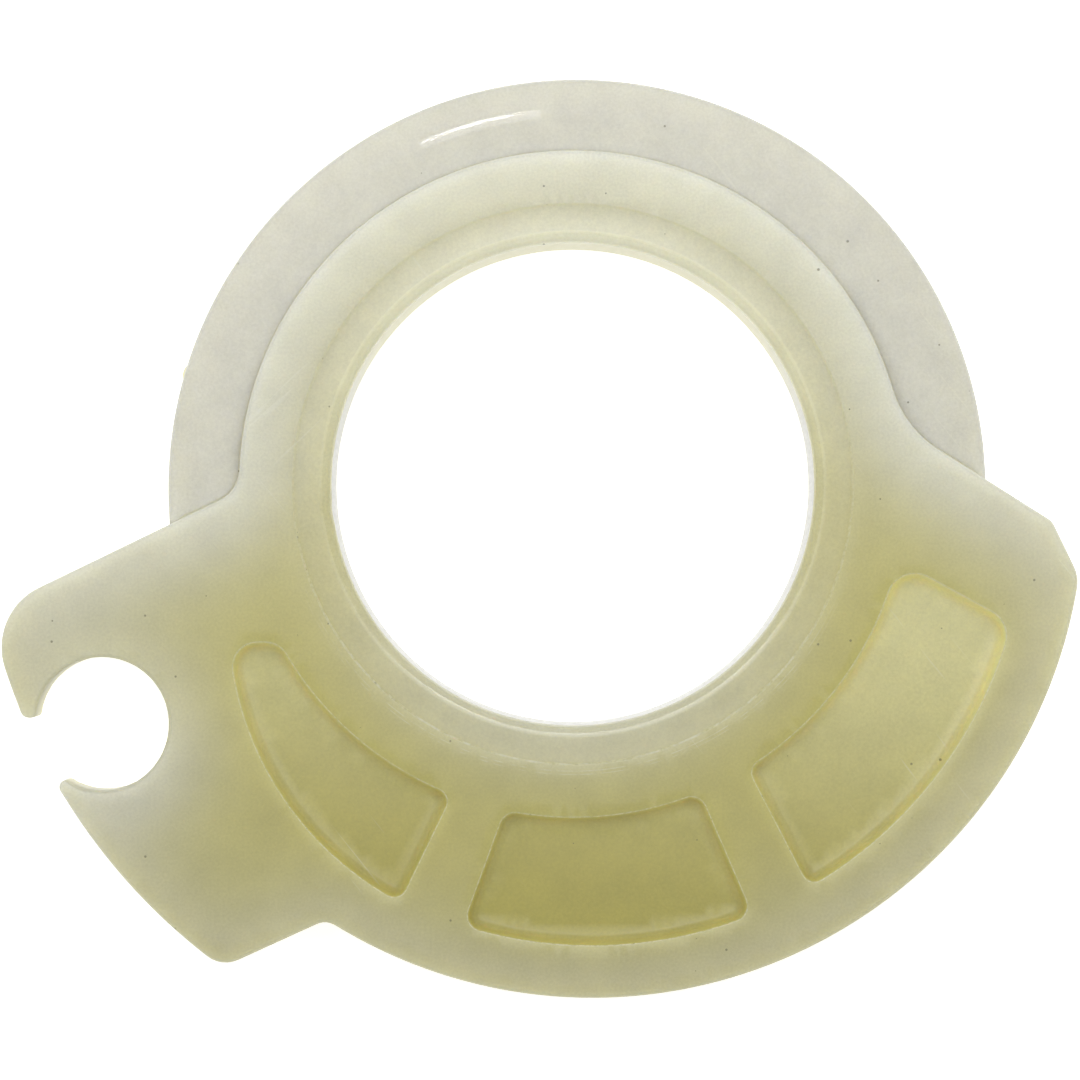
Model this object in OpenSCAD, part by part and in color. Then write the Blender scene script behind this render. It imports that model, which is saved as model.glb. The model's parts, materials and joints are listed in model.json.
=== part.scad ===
// Flanged cam lever, one injection moulding in natural nylon.
// A big hub bore turns on a tube, a thin round flange sits round the hub, a wide cam-shaped
// sector hangs below it, and an arm on the left ends in a snap-in clip for a thin rod.
// X runs to the right and Y up across the front face. Z runs along the bore, towards the front.
// The origin is on the bore axis, at the end of the rear collar. All sizes are in millimetres.

/* [Hub] */
// Radius of the bore
bore_r = 17.5; // [16:0.1:18]
// Radius of the rounded lip where the bore meets the front face
lip_round = 0.75; // [0.3:0.05:1]
// Chamfer on the rear end of the bore
rear_chamfer = 0.5; // [0.2:0.1:1]
// Outer radius of the hub
hub_r = 24.2; // [23.8:0.1:24.6]
// Radius of the shallow recess that surrounds the lip
recess_r = 20.3; // [19.5:0.1:21]
// Depth of the shallow recess
recess_depth = 0.1; // [0.05:0.05:0.2]

/* [Rear collar] */
// Outer radius of the collar behind the plate
collar_r = 20.3; // [19.6:0.1:22]
// Length of the collar behind the plate
collar_length = 6; // [3:0.5:9]

/* [Plate] */
// Thickness of the sector, the arm and the hub in front of the collar
plate_thickness = 6; // [5:0.5:8]
// Depth of the three pockets in the front face
pocket_depth = 1.5; // [1:0.5:4]
// Radius of the outer arc of the bottom and right pockets
pocket_outer_r = 31.4; // [30.5:0.1:31.8]

/* [Flange] */
// Outer radius of the round flange
flange_r = 29.85; // [28:0.05:30.5]
// Thickness of the round flange
flange_thickness = 2.5; // [1.5:0.5:4]

/* [Cam sector] */
// Radius of the cam edge
cam_r = 35.65; // [35:0.05:36]
// How far the cam edge's centre lies to the right of the bore
cam_shift_x = 1.4; // [1:0.1:1.8]
// How far the cam edge's centre lies below the bore
cam_shift_y = 1.6; // [1.2:0.1:2]

/* [Clip arm] */
// Radius of the arm's outer edge, which is round about the bore
arm_rim_r = 43.3; // [42.9:0.1:43.5]
// Radius of the snap-in clip
clip_r = 4.85; // [4.6:0.05:5]
// Distance of the clip to the left of the bore
clip_left = 34.15; // [33.8:0.05:34.4]
// Distance of the clip below the bore
clip_down = 17.4; // [17.2:0.05:17.6]
// Angle of the clip's open mouth
mouth_angle = 60; // [45:1:70]
// Radius of the arm's upper corner
arm_upper_round = 4.8; // [3:0.1:6]
// Radius of the arm's lower corner
arm_lower_round = 2.2; // [1:0.1:3]

/* [Blends] */
// Radius of the blend between the hub and the arm
arm_blend_r = 2.6; // [1.5:0.1:4]
// Radius of the blend between the hub and the right shoulder
shoulder_blend_r = 8; // [5:0.5:9]

/* [Hidden] */
$fn = 180;

nylon = [0.82, 0.81, 0.66];
// How far a cutting shape reaches past what it cuts
clear = 1;
// A length that is more than the whole part
far = 90;
// Steps in an arc of points
arc_steps = 24;

plate_back = collar_length;
front = collar_length + plate_thickness;
recess_floor = front - recess_depth;
cam_centre = [cam_shift_x, -cam_shift_y];
clip_centre = [-clip_left, -clip_down];
// The flange is moulded a little off the bore's axis
flange_centre = [0.3, -0.25];

// Straight edges, each as a point and the direction in which it leaves the hub
arm_top = [[-29.3, -2.95], [-9.1, -4.4]];
arm_foot = [[-17.9, -31.65], [-8, -3.6]];
shoulder = [[27.4, 1.95], [6.8, -4.3]];
// Where the outlines close, out of sight: the arm's inside the sector, the sector's inside the hub
arm_root = [-11.9, -34.1];
sector_roots = [[-12.1, 0], [7, 14.85]];
// Where the shoulder turns down into the short flat at the right, and a point down that flat
shoulder_corner = [34.75, -2.7];
shoulder_flat_end = [36.95, -7.25];
shoulder_corner_round = 1;
// Middle of the clip's mouth, as an angle about the clip
mouth_middle = 205;
mouth_reach = 8;
lug_round = 0.25;

// Centres of the pockets' outer arcs: the left pocket has a smaller arc of its own
pocket_centre = [1.4, -2];
left_pocket_centre = [-1.8, -9.8];
left_pocket_r = 23.1;
// Straight sides of the pockets, each as two points with the pocket on the left of the line
left_pocket_sides = [[[-20, -11.5], [-26, -11.5]], [[-12.45, -30.05], [-9.4, -23.75]]];
bottom_pocket_sides = [[[-5.3, -24.8], [-7.15, -29.85]], [[12.2, -29.4], [10.1, -24.55]]];
right_pocket_sides = [[[13.3, -21.7], [16.55, -28]], [[30.4, -9.3], [25.9, -6.85]]];
// Radii of each pocket's corners, one for each of its two sides
left_pocket_corners = [1.75, 0.9];
bottom_pocket_corners = [1.1, 1.1];
right_pocket_corners = [0.9, 2];

// Unit vector along v, and v turned a quarter turn anticlockwise
function unit(v) = v / norm(v);
function quarter_turn(v) = [-v.y, v.x];
function angle_of(v) = atan2(v.y, v.x);

// Points on an arc, turning anticlockwise from angle a to angle b
function arc(centre, r, a, b) =
    let (sweep = (b - a + 720) % 360)
    [for (i = [0 : arc_steps]) centre + r * [cos(a + sweep * i / arc_steps), sin(a + sweep * i / arc_steps)]];

// Centre of a circle of radius r that touches an edge on the side that out points to,
// and whose centre lies reach away from the bore
function touching_centre(edge, out, r, reach) =
    let (
        along = unit(edge[1]),
        start = edge[0] + r * out,
        slide = start * along
    )
    start + along * (sqrt(slide * slide - start * start + reach * reach) - slide);

// Everything on the left of the line from p to q
module left_of(p, q) {
    along = unit(q - p) * far;
    polygon([p - along, p + along, p + along + quarter_turn(along), p - along + quarter_turn(along)]);
}

// Rounds the outward corners of a shape
module softened(r) {
    offset(r = r) offset(delta = -r) children();
}

// Concave blend between the round hub and a straight edge, where out points away from the metal
module hub_blend(edge, out, r) {
    centre = touching_centre(edge, out, r, hub_r + r);
    difference() {
        polygon([[0, 0], unit(centre) * hub_r, centre, centre - r * out]);
        translate(centre) circle(r = r);
    }
}

// The arm: straight above and below, round about the bore outside, with two rounded corners
module arm_outline() {
    top_out = -quarter_turn(unit(arm_top[1]));
    foot_out = quarter_turn(unit(arm_foot[1]));
    top_centre = touching_centre(arm_top, -top_out, arm_upper_round, arm_rim_r - arm_upper_round);
    foot_centre = touching_centre(arm_foot, -foot_out, arm_lower_round, arm_rim_r - arm_lower_round);
    polygon(concat(
        [[0, 0], arm_top[0] - arm_top[1]],
        arc(top_centre, arm_upper_round, angle_of(top_out), angle_of(top_centre)),
        arc([0, 0], arm_rim_r, angle_of(top_centre), angle_of(foot_centre)),
        arc(foot_centre, arm_lower_round, angle_of(foot_centre), angle_of(foot_out)),
        [arm_foot[0], arm_root]
    ));
}

module sector_outline() {
    intersection() {
        translate(cam_centre) circle(r = cam_r);
        softened(shoulder_corner_round) polygon([
            [0, -far], arm_foot[0] - [0, far], arm_foot[0], sector_roots[0],
            sector_roots[1], shoulder_corner, shoulder_flat_end, [far, -far]
        ]);
    }
}

module front_outline() {
    circle(r = hub_r);
    sector_outline();
    arm_outline();
    hub_blend(arm_top, -quarter_turn(unit(arm_top[1])), arm_blend_r);
    hub_blend(shoulder, quarter_turn(unit(shoulder[1])), shoulder_blend_r);
}

// The open side of the clip, between its two lugs
module clip_mouth() {
    softened(lug_round) polygon([
        clip_centre,
        clip_centre + mouth_reach * [cos(mouth_middle - mouth_angle / 2), sin(mouth_middle - mouth_angle / 2)],
        clip_centre + mouth_reach * [cos(mouth_middle + mouth_angle / 2), sin(mouth_middle + mouth_angle / 2)]
    ]);
}

// The part of a pocket's band on the left of one side line, with its corners rounded
module pocket_part(centre, outer_r, side, corner_r) {
    softened(corner_r) intersection() {
        difference() {
            translate(centre) circle(r = outer_r);
            circle(r = hub_r);
        }
        left_of(side[0], side[1]);
    }
}

// A pocket lies between the hub and an outer arc, and between two straight sides
module pocket(centre, outer_r, sides, corners) {
    intersection() {
        pocket_part(centre, outer_r, sides[0], corners[0]);
        pocket_part(centre, outer_r, sides[1], corners[1]);
    }
}

module pockets() {
    pocket(left_pocket_centre, left_pocket_r, left_pocket_sides, left_pocket_corners);
    pocket(pocket_centre, pocket_outer_r, bottom_pocket_sides, bottom_pocket_corners);
    pocket(pocket_centre, pocket_outer_r, right_pocket_sides, right_pocket_corners);
}

module moulded_body() {
    color(nylon) difference() {
        union() {
            translate([0, 0, plate_back]) linear_extrude(plate_thickness) front_outline();
            translate([flange_centre.x, flange_centre.y, plate_back])
                cylinder(r = flange_r, h = flange_thickness);
            cylinder(r = collar_r, h = plate_back + clear);
        }
        // Bore, its rounded front lip in the shallow recess, and its rear chamfer
        translate([0, 0, -clear]) cylinder(r = bore_r, h = front + 2 * clear);
        rotate_extrude() difference() {
            union() {
                translate([0, recess_floor]) square([recess_r, recess_depth + clear]);
                translate([0, recess_floor - lip_round]) square([bore_r + lip_round, lip_round + clear]);
            }
            translate([bore_r + lip_round, recess_floor - lip_round]) circle(r = lip_round);
        }
        translate([0, 0, -clear])
            cylinder(r1 = bore_r + rear_chamfer + clear, r2 = bore_r, h = rear_chamfer + clear);
        // Clip and its mouth
        translate([clip_centre.x, clip_centre.y, plate_back - clear])
            cylinder(r = clip_r, h = plate_thickness + 2 * clear);
        translate([0, 0, plate_back - clear]) linear_extrude(plate_thickness + 2 * clear) clip_mouth();
        translate([0, 0, front - pocket_depth]) linear_extrude(pocket_depth + clear) pockets();
    }
}

moulded_body();
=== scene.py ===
# A flanged cam lever, moulded in one piece in natural nylon. It lies on its rear collar with its
# front face up. Outlines are worked out in millimetres and meshes are made in metres.
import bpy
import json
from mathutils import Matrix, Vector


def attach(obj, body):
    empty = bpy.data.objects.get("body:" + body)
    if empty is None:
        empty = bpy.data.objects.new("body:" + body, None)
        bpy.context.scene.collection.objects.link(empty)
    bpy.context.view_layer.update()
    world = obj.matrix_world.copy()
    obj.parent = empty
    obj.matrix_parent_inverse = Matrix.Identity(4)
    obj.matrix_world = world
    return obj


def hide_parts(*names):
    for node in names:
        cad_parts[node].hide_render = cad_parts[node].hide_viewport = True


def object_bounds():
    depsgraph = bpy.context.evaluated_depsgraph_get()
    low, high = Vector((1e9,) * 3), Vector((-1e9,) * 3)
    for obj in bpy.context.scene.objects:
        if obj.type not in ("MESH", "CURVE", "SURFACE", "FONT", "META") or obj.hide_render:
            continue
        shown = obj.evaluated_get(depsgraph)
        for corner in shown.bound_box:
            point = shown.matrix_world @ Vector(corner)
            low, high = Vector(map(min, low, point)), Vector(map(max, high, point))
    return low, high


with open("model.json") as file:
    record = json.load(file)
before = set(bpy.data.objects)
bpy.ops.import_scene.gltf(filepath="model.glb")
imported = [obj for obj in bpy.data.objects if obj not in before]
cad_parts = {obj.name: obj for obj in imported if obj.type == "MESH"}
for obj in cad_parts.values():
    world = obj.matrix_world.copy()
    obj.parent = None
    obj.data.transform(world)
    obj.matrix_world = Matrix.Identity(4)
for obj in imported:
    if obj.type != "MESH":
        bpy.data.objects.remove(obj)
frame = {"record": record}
cad_box = [list(corner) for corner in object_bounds()]

import json
import math

import bmesh
import bpy
import numpy as np
from mathutils import Matrix, Vector, geometry, kdtree, noise

# ---- Camera ----------------------------------------------------------------------------------
# The lever is looked at straight down its bore, from about half a metre, with the whole lever
# just inside the square frame.
mm = 0.001
low_corner, high_corner = (Vector(corner) for corner in cad_box)
middle = (low_corner + high_corner) / 2
camera_distance = 480 * mm
camera_x, camera_y, aim_drop = -1.0 * mm, -5.3 * mm, 0.23 * mm
frame_margin = 1.0018
frame_width = frame_margin * (high_corner.x - low_corner.x)

camera_data = bpy.data.cameras.new("camera")
camera = bpy.data.objects.new("camera", camera_data)
bpy.context.scene.collection.objects.link(camera)
bpy.context.scene.camera = camera
place = Vector((camera_x, camera_y, high_corner.z + camera_distance))
aim = Vector((middle.x, middle.y - aim_drop, high_corner.z))
backward = (place - aim).normalized()
right = Vector((0, 1, 0)).cross(backward).normalized()
turned_camera = Matrix((right, backward.cross(right), backward)).transposed()
camera.matrix_world = Matrix.Translation(place) @ turned_camera.to_4x4()
camera_data.angle = 2 * math.atan(frame_width / 2 / camera_distance)

# ---- Outline of the plate --------------------------------------------------------------------
# The plate is one flat outline: a round hub, an arm with a snap-in clip on its left, and a wide
# sector below whose edge is a cam. The mould was cut with round cutters, so it is lines and arcs.
mounts = {mount["name"]: mount for mount in frame["record"]["mounts"]}
bore_r = mounts["tube_bore"]["dims"]["r_mm"]
clip = mounts["rod_clip"]
clip_r = clip["dims"]["r_mm"]
clip_centre = np.array(clip["pos_m"][:2]) / mm
axis = np.zeros(2)
hub_r = 24.2
flange_r, flange_centre = 29.85, np.array([0.3, -0.25])
cam_r, cam_centre = 35.65, np.array([1.4, -1.6])
arm_rim_r = 43.3
mouth_middle, mouth_angle = 205, 60
arm_upper_round, arm_lower_round, arm_blend = 4.8, 2.2, 2.6
shoulder_blend, shoulder_round = 8, 1
point_gap = 0.4


def unit(v):
    return v / np.linalg.norm(v)


def quarter_turn(v):
    return np.array([-v[1], v[0]])


def angle_of(v):
    return math.degrees(math.atan2(v[1], v[0]))


def toward(angle):
    """Unit vector at an angle in degrees."""
    return np.array([math.cos(math.radians(angle)), math.sin(math.radians(angle))])


def arc(centre, radius, start, end, turn=1):
    """Points on an arc from one angle to another. A turn of -1 goes clockwise."""
    sweep = (turn * (end - start)) % 360
    count = max(3, round(math.radians(sweep) * radius / min(point_gap, radius / 3)))
    angles = np.radians(start + turn * np.linspace(0, sweep, count + 1))
    return [centre + radius * np.array([math.cos(a), math.sin(a)]) for a in angles]


def line(start, end, gap=point_gap):
    count = max(1, round(np.linalg.norm(end - start) / gap))
    return [start + (end - start) * i / count for i in range(count + 1)]


def leaving(point, way, centre, radius):
    """Where a straight line through point, going the given way, leaves a circle."""
    start = point - centre
    slide = start @ way
    return point + way * (math.sqrt(slide * slide - start @ start + radius * radius) - slide)


def rounded(corner, way_in, way_out, radius):
    """Arc that rounds an outward corner between two straight edges."""
    half_turn = math.acos(way_in @ way_out) / 2
    centre = corner - way_in * radius * math.tan(half_turn) + quarter_turn(way_in) * radius
    return arc(centre, radius, angle_of(-quarter_turn(way_in)), angle_of(-quarter_turn(way_out)))


def eased(points, corner, reach, steps=7):
    """An outline with one sharp corner worn round, as far as reach on each side."""
    near = [i for i, p in enumerate(points) if np.linalg.norm(p - corner) < reach]
    start, end = points[near[0] - 1], points[near[-1] + 1]
    curve = [(1 - t) ** 2 * start + 2 * t * (1 - t) * corner + t * t * end for t in np.linspace(0, 1, steps)]
    return points[:near[0] - 1] + curve + points[near[-1] + 2:]


def without_repeats(points, nearest=0.02):
    return [p for i, p in enumerate(points) if i == 0 or np.linalg.norm(p - points[i - 1]) > nearest]


arm_top, arm_top_way = np.array([-29.3, -2.95]), unit(np.array([-9.1, -4.4]))
arm_foot, arm_foot_way = np.array([-17.9, -31.65]), unit(np.array([-8, -3.6]))
shoulder, shoulder_way = np.array([27.4, 1.95]), unit(np.array([6.8, -4.3]))
shoulder_corner, flat_way = np.array([34.75, -2.7]), unit(np.array([2.2, -4.55]))
top_out, foot_out = -quarter_turn(arm_top_way), quarter_turn(arm_foot_way)
shoulder_out = quarter_turn(shoulder_way)

top_centre = leaving(arm_top - arm_upper_round * top_out, arm_top_way, axis, arm_rim_r - arm_upper_round)
foot_centre = leaving(
    arm_foot - arm_lower_round * foot_out, arm_foot_way, axis, arm_rim_r - arm_lower_round)
arm_blend_centre = leaving(arm_top + arm_blend * top_out, arm_top_way, axis, hub_r + arm_blend)
shoulder_blend_centre = leaving(
    shoulder + shoulder_blend * shoulder_out, shoulder_way, axis, hub_r + shoulder_blend)
left_end = leaving(arm_top, arm_top_way, flange_centre, flange_r)
right_end = leaving(shoulder, shoulder_way, flange_centre, flange_r)
cam_start = cam_centre + cam_r * unit(arm_foot - cam_centre)
cam_end = leaving(shoulder_corner, flat_way, cam_centre, cam_r)


def lug(angle):
    """Inner and outer corner of one of the clip's two lugs."""
    return clip_centre + clip_r * toward(angle), leaving(clip_centre, toward(angle), axis, arm_rim_r)


mouth_start, mouth_end = mouth_middle - mouth_angle / 2, mouth_middle + mouth_angle / 2
upper_lug, lower_lug = lug(mouth_start), lug(mouth_end)
lug_gap, lug_wear, corner_wear = 0.12, 0.3, 0.5
shoulder_arc = rounded(shoulder_corner, -flat_way, -shoulder_way, shoulder_round)

# Free edge of the plate, anticlockwise from where the flange ends on the left to its right end
free_edge = (
    line(left_end, top_centre + arm_upper_round * top_out)
    + arc(top_centre, arm_upper_round, angle_of(top_out), angle_of(top_centre))
    + arc(axis, arm_rim_r, angle_of(top_centre), angle_of(upper_lug[1]))
    + line(upper_lug[1], upper_lug[0], lug_gap)
    + arc(clip_centre, clip_r, mouth_start, mouth_end, -1)
    + line(lower_lug[0], lower_lug[1], lug_gap)
    + arc(axis, arm_rim_r, angle_of(lower_lug[1]), angle_of(foot_centre))
    + arc(foot_centre, arm_lower_round, angle_of(foot_centre), angle_of(foot_out))
    + line(foot_centre + arm_lower_round * foot_out, cam_start)
    + arc(cam_centre, cam_r, angle_of(cam_start - cam_centre), angle_of(cam_end - cam_centre))
    + line(cam_end, shoulder_arc[0]) + shoulder_arc + line(shoulder_arc[-1], right_end)
)
free_edge = without_repeats(free_edge)
for corner in upper_lug + lower_lug:
    free_edge = eased(free_edge, corner, lug_wear)
for corner in (cam_start, cam_end):
    free_edge = eased(free_edge, corner, corner_wear)

# Edge of the hub above the flange, anticlockwise from the right end back to the left end
hub_edge = without_repeats(
    line(right_end, shoulder_blend_centre - shoulder_blend * shoulder_out)
    + arc(shoulder_blend_centre, shoulder_blend,
          angle_of(-shoulder_out), angle_of(-shoulder_blend_centre), -1)
    + arc(axis, hub_r, angle_of(shoulder_blend_centre), angle_of(arm_blend_centre))
    + arc(arm_blend_centre, arm_blend, angle_of(-arm_blend_centre), angle_of(-top_out), -1)
    + line(arm_blend_centre - arm_blend * top_out, left_end)
)
flange_edge = arc(
    flange_centre, flange_r, angle_of(right_end - flange_centre), angle_of(left_end - flange_centre))
plate_edge = free_edge + hub_edge[1:-1]
rear_edge = free_edge + flange_edge[1:-1]

# ---- Plate and flange ------------------------------------------------------------------------
# The plate is 6 mm thick. The flange is a thin web behind the hub, flush with the plate's rear,
# and its front drops a little towards its rim. Edges have the small radii of a polished mould.
front = high_corner.z / mm
plate_back = clip["pos_m"][2] / mm - clip["dims"]["length_mm"] / 2
flange_thickness = 2.5
front_round, rear_round, root_round = 0.3, 0.25, 0.3
cone_width, cone_slope, cone_bend = 2.4, 0.075, 0.12
cone_rows = (1.0, 1.8, 2.05, 2.2, 2.32, 2.4, 2.48, 2.6, 2.8, 3.1)
flash_height, flash_size = 0.35, 0.05
gate, gate_size, gate_width = flange_centre + flange_r * toward(163.6), 0.4, 0.45
polish_start, polish_end, polish_reach = 95, 114, 0.3
fade = 1.2
tip_reach, tip_share = 1.0, 0.35
round_steps = (0, 30, 60, 90)

body = bmesh.new()
mark_names = ("pale_line", "dark_line", "web", "pocket", "wall", "lip")
pale_line, dark_line, web_mask, pocket_mask, painted_wall_light, lip_mask = (
    body.verts.layers.float.new(name) for name in mark_names)


def ring(points, heights):
    """A row of vertices over plan points, at one height or at a height each."""
    heights = np.broadcast_to(heights, len(points))
    return [body.verts.new((p[0] * mm, p[1] * mm, h * mm)) for p, h in zip(points, heights)]


def mark(vertices, layer, value=1.0):
    for vertex in vertices:
        vertex[layer] = value


def strip(first, second, closed=True, slot=0):
    """A band of faces between two rows of vertices. Where the rows share a vertex it narrows."""
    for i in range(0 if closed else 1, len(first)):
        corners = [first[i - 1], first[i], second[i], second[i - 1]]
        corners = [v for k, v in enumerate(corners) if v is not corners[k - 1]]
        if len(corners) > 2:
            body.faces.new(corners).material_index = slot


def inset(points, amount, closed=True, sharpest=0.5):
    """An anticlockwise outline moved inwards by an amount, or outwards if it is negative."""
    amounts = np.broadcast_to(amount, len(points))
    moved = []
    for i, p in enumerate(points):
        before = p - points[i - 1] if closed or i else points[1] - p
        after = points[(i + 1) % len(points)] - p if closed or i < len(points) - 1 else before
        first_in = quarter_turn(unit(before))
        mean_in = unit(first_in + quarter_turn(unit(after)))
        moved.append(p + mean_in * amounts[i] / max(sharpest, mean_in @ first_in))
    return moved


def inside(points, outlines):
    """Which points lie inside an odd number of outlines."""
    points = np.asarray(points)
    found = np.zeros(len(points), bool)
    for outline in outlines:
        for a, b in zip(outline, outline[1:] + outline[:1]):
            spans = (a[1] > points[:, 1]) != (b[1] > points[:, 1])
            if a[1] != b[1]:
                crossing = (b[0] - a[0]) * (points[:, 1] - a[1]) / (b[1] - a[1]) + a[0]
                found ^= spans & (points[:, 0] < crossing)
    return found


def fill(rings, height, gap=0.9, flattest=0.0005):
    """A skin of even triangles between rings of vertices. Returns the vertices that it adds inside."""
    outlines = [[np.array(v.co.xy) / mm for v in r] for r in rings]
    edge_points = [p for outline in outlines for p in outline]
    tree = kdtree.KDTree(len(edge_points))
    for i, p in enumerate(edge_points):
        tree.insert((*p, 0), i)
    tree.balance()
    lowest, highest = np.min(edge_points, 0), np.max(edge_points, 0)
    rows = np.arange(lowest[1], highest[1], gap * math.sqrt(3) / 2)
    columns = np.arange(lowest[0], highest[0], gap)
    grid = [(x + gap / 2 * (k % 2), y) for k, y in enumerate(rows) for x in columns]
    clear = 0.55 * gap
    grid = [p for p, kept in zip(grid, inside(grid, outlines)) if kept and tree.find((*p, 0))[2] > clear]
    new_vertices = ring([np.array(p) for p in grid], [height(p) for p in grid])
    vertices = [v for r in rings for v in r] + new_vertices
    edges, start = [], 0
    for r in rings:
        edges += [(start + i, start + (i + 1) % len(r)) for i in range(len(r))]
        start += len(r)
    points = [Vector(p) for p in edge_points + grid]
    placed, _, triangles, sources = geometry.delaunay_2d_cdt(points, edges, [], 0, 1e-7)[:4]
    centres = [sum((np.array(placed[i]) for i in t), np.zeros(2)) / 3 for t in triangles]
    for t, kept in zip(triangles, inside(centres, outlines)):
        longest = max((placed[t[k]] - placed[t[k - 1]]).length for k in range(3))
        if kept and geometry.area_tri(*(placed[i] for i in t)) > flattest * longest ** 2:
            body.faces.new([vertices[sources[i][0]] for i in t])
    return new_vertices


def flange_height(p):
    """Height of the flange's front, which is flat and then very slightly conical towards its rim."""
    past_bend = np.linalg.norm(p - flange_centre) - (flange_r - cone_width)
    return plate_back + flange_thickness - cone_slope / 2 * (past_bend + math.hypot(past_bend, cone_bend))


def faded(points, reach=fade):
    """Rises from 0 to 1 away from both ends of an open outline."""
    along = np.array([min(np.linalg.norm(p - points[0]), np.linalg.norm(p - points[-1])) for p in points])
    return np.clip(along / reach, 0, 1)


def flash(p):
    """How far the ragged parting line stands out at a point of the edge, with the gate's stub."""
    coarse = abs(noise.noise((p[0] * 1.3, p[1] * 1.3, 2.0)))
    fine = abs(noise.noise((p[0] * 4, p[1] * 4, 7.0)))
    torn = abs(noise.noise((p[0] * 5, p[1] * 5, 1.0)))
    stub = gate_size * math.exp(-(np.linalg.norm(p - gate) / gate_width) ** 2)
    return flash_size * (coarse + 0.5 * fine) + stub * (0.6 + 0.8 * torn)


def slimmed(points):
    """How much of an edge's rounding is left at each point, as it shrinks at the lugs' thin tips."""
    tips = upper_lug + lower_lug
    gaps = np.array([min(np.linalg.norm(p - tip) for tip in tips) for p in points])
    return np.clip(gaps / tip_reach, tip_share, 1)


def turned(angle):
    """Sine and cosine of an angle in degrees, for a rounding's steps."""
    return math.sin(math.radians(angle)), math.cos(math.radians(angle))


# Front edge of the plate, rounded, and the wall below it
last = None
edge_round = front_round * slimmed(plate_edge)
for angle in round_steps:
    s, c = turned(angle)
    row = ring(inset(plate_edge, edge_round * (1 - s)), front - edge_round * (1 - c))
    if last:
        strip(last, row)
    else:
        front_ring = row
    last = row
free_count = len(free_edge)
# Painted shade: a darker line along the bottom of the free edge's front rounding
mark(last[:free_count], dark_line)
root = root_round * faded(hub_edge)
wall_heights = np.full(len(plate_edge), flange_height(left_end))
wall_heights[free_count:] = [flange_height(p) + r for p, r in zip(hub_edge[1:-1], root[1:-1])]
wall = ring(plate_edge, wall_heights)
strip(last, wall)

# Root of the hub on the flange, which ends in the free edge's own vertices
hub_foot_shade = 0.2
hub_row = [wall[free_count - 1]] + wall[free_count:] + [wall[0]]
for angle in round_steps[1:]:
    s, c = turned(angle)
    points = inset(hub_edge, -root * (1 - c), closed=False)[1:-1]
    heights = [flange_height(p) + r * (1 - s) for p, r in zip(points, root[1:-1])]
    row = [hub_row[0]] + ring(points, heights) + [hub_row[-1]]
    strip(hub_row, row, closed=False)
    hub_row = row
# Painted shade along the foot of the hub, where it meets the flange
mark(hub_row[3:-3], dark_line, hub_foot_shade)

# Rim of the flange
rim = front_round * faded(flange_edge)
rim_row = None
for angle in round_steps:
    s, c = turned(angle)
    points = inset(flange_edge, rim * (1 - s), closed=False)[1:-1]
    heights = [flange_height(p) - r * (1 - c) for p, r in zip(points, rim[1:-1])]
    row = [wall[free_count - 1]] + ring(points, heights) + [wall[0]]
    mark(row[1:-1], web_mask)
    if rim_row:
        strip(rim_row, row, closed=False)
    else:
        flange_top_row = row
    rim_row = row
# Painted shade: a faint darker line along the flange's rim
mark(rim_row, dark_line)
mark(hub_row[1:-1], web_mask)

# The flange's flat meets its slightly conical border in close rows, polished over a short stretch
for amount in cone_rows:
    reach_in = rim + (amount - front_round) * faded(flange_edge, 2 * cone_rows[-1])
    points = inset(flange_edge, reach_in, closed=False)[1:-1]
    row = [flange_top_row[0]] + ring(points, [flange_height(p) for p in points]) + [flange_top_row[-1]]
    strip(row, flange_top_row, closed=False)
    mark(row[1:-1], web_mask)
    if abs(amount - cone_width) < polish_reach:
        mark([v for v in row if polish_start < angle_of(v.co) < polish_end], lip_mask)
    flange_top_row = row
mark(fill([hub_row[::-1] + flange_top_row[1:-1]], flange_height), web_mask)

# Parting line, where the two halves of the mould met, and the rounded rear edge
parting = ring(rear_edge, plate_back + rear_round + flash_height)
strip(wall[:free_count], parting[:free_count], closed=False)
strip(rim_row, [parting[free_count - 1]] + parting[free_count:] + [parting[0]], closed=False)
last = parting
edge_round = rear_round * slimmed(rear_edge)
flash_out = np.array([flash(p) for p in rear_edge])
for angle in round_steps[::-1]:
    s, c = turned(angle)
    row = ring(inset(rear_edge, edge_round * (1 - s) - flash_out * s), plate_back + edge_round * (1 - c))
    strip(last, row)
    last = row
rear_ring = last

# ---- Bore and collar -------------------------------------------------------------------------
# The bore runs on a tube. A rounded lip leads into it from a very shallow recess in the front, and
# behind the plate it goes on through a collar, whose end keeps the lever off what lies behind.
lip_round, recess_depth, recess_r = 0.75, 0.1, 20.3
step_reach, step_middle, step_ease = 0.12, 0.05, 0.02
burr_out, burr_in = 0.2, 0.08
collar_r, rear_chamfer, collar_round = 20.3, 0.5, 0.25
bore_rows, collar_rows = (9.5, 7.5, 5.5, 3.5, 1.8), (2, 4)
turn_points = 300
recess_floor = front - recess_depth
lip_centre = (bore_r + lip_round, recess_floor - lip_round)


def circle(radius, count=turn_points, centre=axis):
    return [centre + radius * toward(360 * i / count) for i in range(count)]


# The recess's soft step, its floor and the fine burr where the floor meets the lip
profile = [(recess_r + step_reach, front), (recess_r + step_middle, front - step_ease),
           (recess_r, front - recess_depth / 2), (recess_r - step_middle, recess_floor + step_ease),
           (recess_r - step_reach, recess_floor), (recess_r - 1, recess_floor),
           (lip_centre[0] + burr_out, recess_floor), (lip_centre[0] + burr_in, recess_floor + step_ease)]
lip_start = len(profile) - 1
# The lip, and the bore down to its chamfer
profile += [(lip_centre[0] - lip_round * s, lip_centre[1] + lip_round * c)
            for s, c in (turned(a) for a in range(0, 91, 15))]
lip_end = len(profile)
profile += [(bore_r, z) for z in bore_rows + (rear_chamfer,)]
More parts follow.
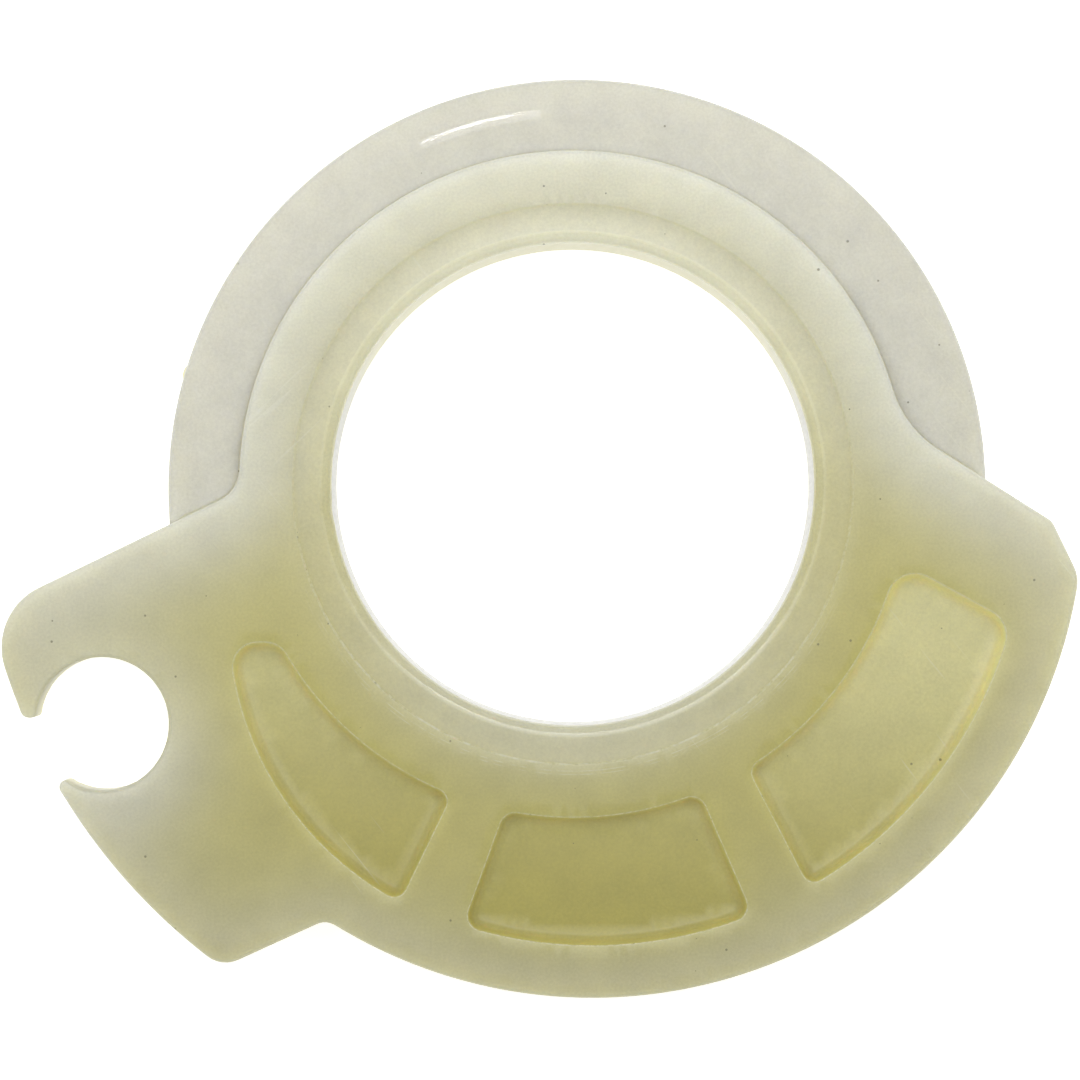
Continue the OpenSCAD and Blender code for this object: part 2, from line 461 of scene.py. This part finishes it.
# The chamfer, the collar's end and the collar up to the plate
profile += [(bore_r + 0.6 * rear_chamfer, 0.4 * rear_chamfer), (bore_r + rear_chamfer, 0),
            (bore_r + 3 * rear_chamfer, 0), (collar_r - collar_round, 0)]
profile += [(collar_r - collar_round * (1 - s), collar_round * (1 - c))
            for s, c in (turned(a) for a in round_steps[1:])]
profile += [(collar_r, z) for z in collar_rows + (plate_back - root_round,)]
profile += [(collar_r + root_round * (1 - c), plate_back - root_round * (1 - s))
            for s, c in (turned(a) for a in round_steps[1:])]
turned_rows = [ring(circle(radius), height) for radius, height in profile]
for k in range(len(profile) - 1):
    in_bore = profile[k][0] == profile[k + 1][0] == bore_r
    strip(turned_rows[k], turned_rows[k + 1], slot=1 if in_bore else 0)

# Where the sprue was trimmed off, a small dent runs over the lip
dent_angle, dent_width, dent_out, dent_down = 186.5, 2.2, 0.06, 0.04
for row in turned_rows[lip_start:lip_end + 1]:
    for vertex in row:
        off = math.degrees(math.atan2(vertex.co.y, vertex.co.x)) % 360 - dent_angle
        share = math.exp(-(off / dent_width) ** 4)
        vertex.co.xy *= 1 + dent_out / bore_r * share
        vertex.co.z -= dent_down * mm * share

# Painted highlight on the recess's step all round, and painted light on the lip over its upper half, which
# faces away from the lamp
painted_step_highlight, painted_lip_light, painted_lip_light_height = 0.8, 0.6, 14
for row in turned_rows[1:4]:
    mark(row, pale_line, painted_step_highlight)
for row in turned_rows[lip_start:lip_end]:
    for vertex in row:
        vertex[pale_line] = painted_lip_light * min(max(vertex.co.y / mm / painted_lip_light_height, 0), 1)
        vertex[painted_wall_light] = vertex[pale_line]
for row in turned_rows[lip_start + 2:lip_end - 1]:
    mark(row, lip_mask)

# ---- Pockets ---------------------------------------------------------------------------------
# Three shallow pockets keep the sector from sinking as it cools. Their walls lean a little, so that
# the moulding leaves the mould, and meet the floor in a small radius.
pocket_depth, pocket_round, pocket_root, draft = 1.5, 0.12, 0.6, 0.15
sector_centre = np.array([1.4, -2.0])
pockets = (
    {"centre": np.array([-1.8, -9.8]), "outer_r": 23.1, "rounds": (1.75, 0.9),
     "sides": (((-20, -11.5), (-26, -11.5)), ((-12.45, -30.05), (-9.4, -23.75)))},
    {"centre": sector_centre, "outer_r": 31.4, "rounds": (1.1, 1.1),
     "sides": (((-5.3, -24.8), (-7.15, -29.85)), ((12.2, -29.4), (10.1, -24.55)))},
    {"centre": sector_centre, "outer_r": 31.4, "rounds": (0.9, 2.0),
     "sides": (((13.3, -21.7), (16.55, -28)), ((30.4, -9.3), (25.9, -6.85)))},
)


def pocket_edge(centre, outer_r, rounds, sides):
    """A pocket between the hub, an outer arc and two straight sides, with four rounded corners."""
    (first_start, first_end), (last_start, last_end) = np.array(sides, float)
    way_out = unit(first_end - first_start)
    way_in = unit(last_end - last_start)
    first_in = quarter_turn(way_out)
    last_in = quarter_turn(way_in)
    a, b = rounds
    inner_a = leaving(first_start + a * first_in, way_out, axis, hub_r + a)
    outer_a = leaving(first_start + a * first_in, way_out, centre, outer_r - a)
    outer_b = leaving(last_end + b * last_in, -way_in, centre, outer_r - b)
    inner_b = leaving(last_end + b * last_in, -way_in, axis, hub_r + b)
    return without_repeats(
        arc(inner_a, a, angle_of(-inner_a), angle_of(-first_in))
        + line(inner_a - a * first_in, outer_a - a * first_in)
        + arc(outer_a, a, angle_of(-first_in), angle_of(outer_a - centre))
        + arc(centre, outer_r, angle_of(outer_a - centre), angle_of(outer_b - centre))
        + arc(outer_b, b, angle_of(outer_b - centre), angle_of(-last_in))
        + line(outer_b - b * last_in, inner_b - b * last_in)
        + arc(inner_b, b, angle_of(-last_in), angle_of(-inner_b))
        + arc(axis, hub_r, angle_of(inner_b), angle_of(inner_a), -1)
    )[:-1]


def sunk(outline, top, depth, top_round, lean, bottom_round, way=1):
    """Sinks a floor below an outline, or raises it if way is -1. Returns its rows and floor."""
    steps = [turned(angle) for angle in round_steps]
    rows = [ring(inset(outline, -top_round * (1 - s)), top - way * top_round * (1 - c)) for s, c in steps]
    rows += [ring(inset(outline, lean + bottom_round * (1 - c)), top - way * (depth - bottom_round * (1 - s)))
             for s, c in steps]
    for first, second in zip(rows, rows[1:]):
        strip(first, second)
    return rows, fill([rows[-1]], lambda p: top - way * depth)


# Painted light: how pale each row of a pocket's wall is made, from its top edge down to its floor, against
# its shade
wall_shares = (0, 0, 0, 1, 1, 1, 0.75, 0.4)
pocket_rings = []
for pocket in pockets:
    rows, pocket_floor = sunk(pocket_edge(**pocket), front, pocket_depth, pocket_round, draft, pocket_root)
    # Painted highlight along each pocket's top edge
    mark(rows[1] + rows[2], pale_line)
    for row, share in zip(rows, wall_shares):
        mark(row, painted_wall_light, share)
    for row in rows[2:] + [pocket_floor]:
        mark(row, pocket_mask)
    pocket_rings.append(rows[0])
fill([front_ring, turned_rows[0]] + pocket_rings, lambda p: front)

# ---- Rear of the plate -----------------------------------------------------------------------
# The rear is flat. Ejector pins pushed the moulding out of the mould here and left shallow rounds.
pin_r, pin_depth, pin_points = 1.6, 0.12, 40
pin_edge, pin_lean, pin_root = 0.03, 0.02, 0.05
pin_places = ((-27.5, -29.5), (-21, -15), (0.5, -30.5), (22, -22), (30.5, -6), (19, 18), (-19, 18))
pin_rings = []
for pin_place in pin_places:
    outline = circle(pin_r, pin_points, np.array(pin_place))
    rows, _ = sunk(outline, plate_back, pin_depth, pin_edge, pin_lean, pin_root, way=-1)
    pin_rings.append(rows[0])
fill([rear_ring, turned_rows[-1]] + pin_rings, lambda p: plate_back)

bmesh.ops.recalc_face_normals(body, faces=body.faces)
# The flash may not stand out past the lever's overall size
for vertex in body.verts:
    vertex.co = [min(max(x, a), b) for x, a, b in zip(vertex.co, low_corner, high_corner)]
lever_mesh = bpy.data.meshes.new("lever")
body.to_mesh(lever_mesh)
lever_mesh.shade_smooth()

# ---- Natural nylon ---------------------------------------------------------------------------
# Natural nylon has no pigment. Light let in at its edges is painted into its colour as paler edges,
# most where they face the lamp above, while the thick middle looks olive yellow. The surface is
# satin with a fine grain, some specks and scuffs.
places = np.array([vertex.co for vertex in lever_mesh.vertices])[:, :2] / mm
edge_reach, bore_reach = 2, 1.5
free_light, upper_light, hub_light, bore_light, bore_end_light = 0.75, 1.7, 2.8, 0.5, 1.2


def light_reach(edge, depth, strength):
    """How much light from an edge arrives at each vertex, if it fades over the given depth."""
    ends = np.array(edge)
    middles = (ends[1:] + ends[:-1]) / 2
    lengths = np.linalg.norm(ends[1:] - ends[:-1], axis=1)
    strengths = np.broadcast_to(strength, len(middles))
    reach = np.zeros(len(places))
    for middle_point, length in zip(middles, lengths * strengths):
        reach += length * np.exp(-np.linalg.norm(places - middle_point, axis=1) / depth)
    return reach / (2 * depth)


bore_edge = circle(bore_r) + circle(bore_r)[:1]
# Painted light: the bore lets in most at its top and bottom, and the free edge where it faces up to the lamp
above_or_below = np.array([(p[1] / bore_r) ** 2 for p in bore_edge[:-1]])
facing_up = np.array([unit(a - b)[0] for a, b in zip(free_edge, free_edge[1:])])
arriving = light_reach(free_edge, edge_reach, free_light + upper_light * np.clip(facing_up, 0, 1))
arriving += light_reach(hub_edge, edge_reach, hub_light)
arriving += light_reach(bore_edge, bore_reach, bore_light + bore_end_light * above_or_below)
edge_glow = lever_mesh.attributes.new("edge_glow", "FLOAT", "POINT")
edge_glow.data.foreach_set("value", (1 - np.exp(-arriving)).astype(np.float32))


def node(tree, kind, inputs=None, **settings):
    """A shader node with its settings, and with values or links for its inputs."""
    made = tree.nodes.new(kind)
    for name, value in settings.items():
        setattr(made, name, value)
    for name, value in (inputs or {}).items():
        if isinstance(value, bpy.types.NodeSocket):
            tree.links.new(value, made.inputs[name])
        else:
            made.inputs[name].default_value = value
    return made


def maths(tree, operation, *values):
    return node(tree, "ShaderNodeMath", dict(enumerate(values)), operation=operation).outputs[0]


def ramp(tree, value, low, high, to_low=0.0, to_high=1.0):
    """Smooth step of a value between two levels."""
    inputs = {"Value": value, "From Min": low, "From Max": high, "To Min": to_low, "To Max": to_high}
    return node(tree, "ShaderNodeMapRange", inputs, interpolation_type="SMOOTHSTEP").outputs["Result"]


def mixed(tree, share, first, second):
    inputs = {0: share, 6: first, 7: second}
    return node(tree, "ShaderNodeMix", inputs, data_type="RGBA").outputs[2]


def tinted(tree, colour, shade):
    """A colour made lighter or darker by a factor."""
    return node(tree, "ShaderNodeVectorMath", {0: colour, "Scale": shade}, operation="SCALE").outputs[0]


def noise_at(tree, position, scale, detail=2.0, rough=0.5):
    inputs = {"Vector": position, "Scale": scale, "Detail": detail, "Roughness": rough}
    return node(tree, "ShaderNodeTexNoise", inputs).outputs["Fac"]


def attribute(tree, name):
    return node(tree, "ShaderNodeAttribute", attribute_name=name).outputs["Fac"]


def millimetres(tree):
    """Position on the object in millimetres."""
    place = node(tree, "ShaderNodeTexCoord").outputs["Object"]
    return node(tree, "ShaderNodeVectorMath", {0: place, "Scale": 1000}, operation="SCALE").outputs[0]


def group(name, inputs, outputs):
    """An empty node group. Returns it with its input sockets and the node that takes its results."""
    tree = bpy.data.node_groups.new(name, "ShaderNodeTree")
    for socket, kind in inputs.items():
        tree.interface.new_socket(socket, in_out="INPUT", socket_type=kind)
    for socket, kind in outputs.items():
        tree.interface.new_socket(socket, in_out="OUTPUT", socket_type=kind)
    return tree, tree.nodes.new("NodeGroupInput").outputs, tree.nodes.new("NodeGroupOutput").inputs


def use(tree, made_group, **inputs):
    made = tree.nodes.new("ShaderNodeGroup")
    made.node_tree = made_group
    for name, value in inputs.items():
        if isinstance(value, bpy.types.NodeSocket):
            tree.links.new(value, made.inputs[name])
        else:
            made.inputs[name].default_value = value
    return made.outputs


vector, number = "NodeSocketVector", "NodeSocketFloat"

# Grain: fine speckle, soft blotches and the height of the spark-eroded surface
grain, given, result = group("moulded_grain", {"Position": vector}, {"Shade": number, "Height": number})
fine = noise_at(grain, given["Position"], 5.0, 3.0, 0.6)
soft = noise_at(grain, given["Position"], 0.35, 2.0)
blend = maths(grain, "ADD", maths(grain, "MULTIPLY", fine, 0.6), maths(grain, "MULTIPLY", soft, 0.4))
grain.links.new(blend, result["Shade"])
grain.links.new(fine, result["Height"])

# Specks: small round bits of burnt resin and dirt, only in a share of the cells
specks, given, result = group(
    "dark_specks", {"Position": vector, "Density": number, "Amount": number}, {"Mask": number})
cells = node(specks, "ShaderNodeTexVoronoi", {"Vector": given["Position"], "Scale": given["Density"]},
             voronoi_dimensions="2D")
chosen = node(specks, "ShaderNodeSeparateColor", {"Color": cells.outputs["Color"]}).outputs
speck_r = maths(specks, "MULTIPLY_ADD", chosen["Green"], 0.07, 0.03)
size = maths(specks, "MULTIPLY", speck_r, given["Density"])
near = maths(specks, "LESS_THAN", cells.outputs["Distance"], size)
picked = maths(specks, "LESS_THAN", chosen["Red"], given["Amount"])
specks.links.new(maths(specks, "MULTIPLY", near, picked), result["Mask"])

# Scratches: long thin marks that all run one way, broken up along their length
scratches, given, result = group(
    "fine_scratches", {"Position": vector, "Angle": number, "Amount": number}, {"Mask": number})
turn = node(scratches, "ShaderNodeVectorRotate", {"Vector": given["Position"], "Angle": given["Angle"]},
            rotation_type="Z_AXIS").outputs[0]
stretch = node(scratches, "ShaderNodeVectorMath", {0: turn, 1: (0.12, 3.2, 1.0)},
               operation="MULTIPLY").outputs[0]
streaks = noise_at(scratches, stretch, 1.0, 1.0)
level = maths(scratches, "MULTIPLY_ADD", given["Amount"], -0.12, 0.80)
scratches.links.new(ramp(scratches, streaks, level, maths(scratches, "ADD", level, 0.05)), result["Mask"])

# Scuffs: turned rings where a washer rubs, strongest on the lower side
scuffs, given, result = group(
    "scuff_rings", {"Position": vector, "Radius": number, "Width": number}, {"Mask": number})
flat = node(scuffs, "ShaderNodeVectorMath", {0: given["Position"], 1: (1, 1, 0)},
            operation="MULTIPLY").outputs[0]
radius = node(scuffs, "ShaderNodeVectorMath", {0: flat}, operation="LENGTH").outputs["Value"]
off = maths(scuffs, "ABSOLUTE", maths(scuffs, "SUBTRACT", radius, given["Radius"]))
near = ramp(scuffs, off, given["Width"], 0.0)
low = ramp(scuffs, node(scuffs, "ShaderNodeSeparateXYZ", {"Vector": flat}).outputs["Y"], -5.0, -17.0)
patchy = ramp(scuffs, noise_at(scuffs, given["Position"], 1.2, 3.0), 0.4, 0.65)
strength = maths(scuffs, "MULTIPLY", near, maths(scuffs, "MULTIPLY", low, patchy))
scuffs.links.new(strength, result["Mask"])

# Colours of the nylon where it is thick, of the painted light at its edges, of the thin flange, and of the
# pockets' floors, which are painted darker low down and lighter high up
thick_colour, painted_edge_colour = (0.555, 0.51, 0.155, 1), (0.70, 0.70, 0.60, 1)
web_colour = (0.63, 0.63, 0.57, 1)
shaded_lower_floor, lit_upper_floor = (0.44, 0.395, 0.08, 1), (0.68, 0.655, 0.34, 1)
# Colours of painted shade, scratches, painted highlights and specks
painted_shade_colour, scratch_colour = (0.27, 0.26, 0.10, 1), (0.80, 0.80, 0.70, 1)
painted_light_colour, speck_colour = (0.80, 0.78, 0.55, 1), (0.10, 0.095, 0.035, 1)
# Radius, width and strength of each rubbed ring, and where the lever was handled most
rubbed_rings = ((20.3, 0.1, 0.5), (20.8, 0.06, 0.3), (21.05, 0.06, 0.2))
handled_spot, handled_reach, handled_core = (-20.5, 5.5, front), 5.0, 2.5
# How strongly each effect shows in the colour, and in the roughness
upward_light_gain, grain_gain, grain_base = 0.14 / 30, 0.5, 0.75
wall_light_mix, wall_light_gain, corner_shade, web_corner_shade = 0.2, 0.24, 0.6, 0.12
scratch_share, handled_share, speck_share, dirt_share = 0.2, 0.3, 0.6, 0.5
grain_roughness, least_roughness, lip_gloss, web_gloss = 0.16, 0.32, 0.35, 0.06

nylon = bpy.data.materials.new("natural_nylon")
nylon.use_nodes = True
tree = nylon.node_tree
tree.nodes.clear()
position = millimetres(tree)
shade = use(tree, grain, Position=position)
# Painted light: paler where light let in at the edges would show
base = mixed(tree, attribute(tree, "edge_glow"), thick_colour, painted_edge_colour)
# Painted light: the lever is made lighter towards the top, where the lamp above lights it more
along = node(tree, "ShaderNodeSeparateXYZ", {"Vector": position}).outputs
base = tinted(tree, base, maths(tree, "MULTIPLY_ADD", along["Y"], upward_light_gain, 1.0))
on_web = attribute(tree, "web")
base = mixed(tree, on_web, base, web_colour)
# Painted light and shade on the pockets' floors: darker and more olive low down, lighter towards the top
slope = maths(tree, "MULTIPLY_ADD", along["X"], 0.1, along["Y"])
floor_light_slope = mixed(tree, ramp(tree, slope, -33.0, -3.0), shaded_lower_floor, lit_upper_floor)
base = mixed(tree, attribute(tree, "pocket"), base, floor_light_slope)
# Painted light: the pockets' walls and the lip's upper side are made paler and lighter to offset their shade
painted_wall_share = attribute(tree, "wall")
base = mixed(tree, maths(tree, "MULTIPLY", painted_wall_share, wall_light_mix), base, painted_light_colour)
base = tinted(tree, base, maths(tree, "MULTIPLY_ADD", painted_wall_share, wall_light_gain, 1.0))
base = tinted(tree, base, maths(tree, "MULTIPLY_ADD", shade["Shade"], grain_gain, grain_base))
# Painted shade along the lower edges, the hub's foot and the flange's rim, and painted highlights broken up
# along their length
rim_share = maths(tree, "MULTIPLY_ADD", on_web, web_corner_shade - corner_shade, corner_shade)
base = mixed(tree, maths(tree, "MULTIPLY", attribute(tree, "dark_line"), rim_share), base, painted_shade_colour)
broken = ramp(tree, noise_at(tree, position, 4.0), 0.35, 0.62, 0.25, 0.7)
base = mixed(tree, maths(tree, "MULTIPLY", attribute(tree, "pale_line"), broken), base, painted_light_colour)
for ring_radius, ring_width, strength in rubbed_rings:
    rubbed_ring = use(tree, scuffs, Position=position, Radius=ring_radius, Width=ring_width)["Mask"]
    base = mixed(tree, maths(tree, "MULTIPLY", rubbed_ring, strength), base, scratch_colour)
# Fine scratches all over, and a handled patch on the left of the hub
marks = use(tree, scratches, Position=position, Angle=0.9, Amount=0.5)["Mask"]
base = mixed(tree, maths(tree, "MULTIPLY", marks, scratch_share), base, scratch_colour)
handled = node(tree, "ShaderNodeVectorMath", {0: position, 1: handled_spot},
               operation="DISTANCE").outputs["Value"]
marks = use(tree, scratches, Position=position, Angle=-0.75, Amount=1.4)["Mask"]
marks = maths(tree, "MULTIPLY", marks, ramp(tree, handled, handled_reach, handled_core))
base = mixed(tree, maths(tree, "MULTIPLY", marks, handled_share), base, scratch_colour)
# Specks in the plastic, and dirt specks along the edges that carry painted highlights
dots = use(tree, specks, Position=position, Density=0.45, Amount=0.08)["Mask"]
base = mixed(tree, maths(tree, "MULTIPLY", dots, speck_share), base, speck_colour)
dirt = use(tree, specks, Position=position, Density=1.6, Amount=0.12)["Mask"]
dirt = maths(tree, "MULTIPLY", dirt, ramp(tree, attribute(tree, "pale_line"), 0.5, 1.0))
base = mixed(tree, maths(tree, "MULTIPLY", dirt, dirt_share), base, speck_colour)
# Satin all over, glossier on the lip and on the flange's border
roughness = maths(tree, "MULTIPLY_ADD", shade["Shade"], grain_roughness, least_roughness)
roughness = maths(tree, "MULTIPLY_ADD", attribute(tree, "lip"), -lip_gloss, roughness)
roughness = maths(tree, "MULTIPLY_ADD", on_web, -web_gloss, roughness)
bump = node(tree, "ShaderNodeBump", {"Strength": 0.12, "Distance": 0.00003, "Height": shade["Height"]})
satin = node(tree, "ShaderNodeBsdfPrincipled", {
    "Base Color": base, "Roughness": roughness, "Normal": bump.outputs[0], "IOR": 1.53,
    "Subsurface Weight": 0.8, "Subsurface Radius": (1.0, 0.9, 0.6), "Subsurface Scale": 0.004})
node(tree, "ShaderNodeOutputMaterial", {"Surface": satin.outputs[0]})

# The tube has rubbed the bore's wall, which is glossier, with streaks along the bore; its upper side carries
# painted shade
worn_colour, clean_colour = (0.56, 0.56, 0.52, 1), (0.72, 0.72, 0.70, 1)
shaded_upper_bore = (0.74, 0.71, 0.47, 1)
bore_rubbed_and_shaded = bpy.data.materials.new("nylon_rubbed_bore")
bore_rubbed_and_shaded.use_nodes = True
tree = bore_rubbed_and_shaded.node_tree
tree.nodes.clear()
position = millimetres(tree)
shade = use(tree, grain, Position=position)
streak = node(tree, "ShaderNodeVectorMath", {0: position, 1: (2.5, 2.5, 0.15)},
              operation="MULTIPLY").outputs[0]
worn = noise_at(tree, streak, 1.0, 3.0)
base = mixed(tree, ramp(tree, worn, 0.3, 0.7), worn_colour, clean_colour)
along = node(tree, "ShaderNodeSeparateXYZ", {"Vector": position}).outputs
# Painted shade: the bore's upper side, which faces away from the lamp, is made yellower
base = mixed(tree, ramp(tree, along["Y"], 3.0, 12.0), base, shaded_upper_bore)
rubbed_grain, rubbed_base = 0.2, 0.9
base = tinted(tree, base, maths(tree, "MULTIPLY_ADD", shade["Shade"], rubbed_grain, rubbed_base))
satin = node(tree, "ShaderNodeBsdfPrincipled", {
    "Base Color": base, "Roughness": maths(tree, "MULTIPLY_ADD", worn, 0.2, 0.25), "IOR": 1.53})
node(tree, "ShaderNodeOutputMaterial", {"Surface": satin.outputs[0]})

lever = bpy.data.objects.new("lever", lever_mesh)
bpy.context.scene.collection.objects.link(lever)
lever_mesh.materials.append(nylon)
lever_mesh.materials.append(bore_rubbed_and_shaded)
lever.modifiers.new("even shading", "WEIGHTED_NORMAL").keep_sharp = True
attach(lever, "root")
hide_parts("moulded_body")

# ---- Floor and light -------------------------------------------------------------------------
# A plain pale table top under a large soft lamp, which stands above and towards the far side.
floor_half, floor_steps, floor_gap = 450, 30, 0.05
table_top = bmesh.new()
across = [(2 * i / floor_steps - 1) * floor_half * mm for i in range(floor_steps + 1)]
floor_height = low_corner.z - floor_gap * mm
corners = [[table_top.verts.new((x, y, floor_height)) for x in across] for y in across]
for j in range(floor_steps):
    for i in range(floor_steps):
        table_top.faces.new((corners[j][i], corners[j][i + 1], corners[j + 1][i + 1], corners[j + 1][i]))
floor_mesh = bpy.data.meshes.new("table_top")
table_top.to_mesh(floor_mesh)
floor = bpy.data.objects.new("table_top", floor_mesh)
bpy.context.scene.collection.objects.link(floor)
card = bpy.data.materials.new("pale_card")
card.use_nodes = True
tree = card.node_tree
tree.nodes.clear()
position = millimetres(tree)
fibres = noise_at(tree, position, 0.8, 4.0)
card_shade, card_light = (0.86, 0.86, 0.86, 1), (0.90, 0.90, 0.90, 1)
base = mixed(tree, fibres, card_shade, card_light)
paper = node(tree, "ShaderNodeBsdfPrincipled", {
    "Base Color": base, "Roughness": 0.9, "Emission Color": base, "Emission Strength": 0.75})
node(tree, "ShaderNodeOutputMaterial", {"Surface": paper.outputs[0]})
floor_mesh.materials.append(card)

world = bpy.data.worlds.new("studio")
bpy.context.scene.world = world
world.use_nodes = True
sky = world.node_tree.nodes["Background"].inputs
sky["Color"].default_value = (1, 1, 1, 1)
sky["Strength"].default_value = 0.44


def lamp(name, place, power, width, depth, small=False):
    """A flat lamp that faces the lever. Small ones only add their glints, and don't light it."""
    data = bpy.data.lights.new(name, "AREA")
    data.shape = "RECTANGLE"
    data.size, data.size_y, data.energy = width * mm, depth * mm, power
    made = bpy.data.objects.new(name, data)
    bpy.context.scene.collection.objects.link(made)
    made.location = Vector(place) * mm
    made.rotation_euler = (middle - made.location).to_track_quat("-Z", "Y").to_euler()
    made.visible_diffuse = not small


lamp("soft_lamp", (-20, 150, 640), 1.9, 440, 300)
lamp("far_lamp", (-31, 116, 480), 0.03, 20, 12, small=True)
bpy.context.scene.view_settings.view_transform = "Standard"
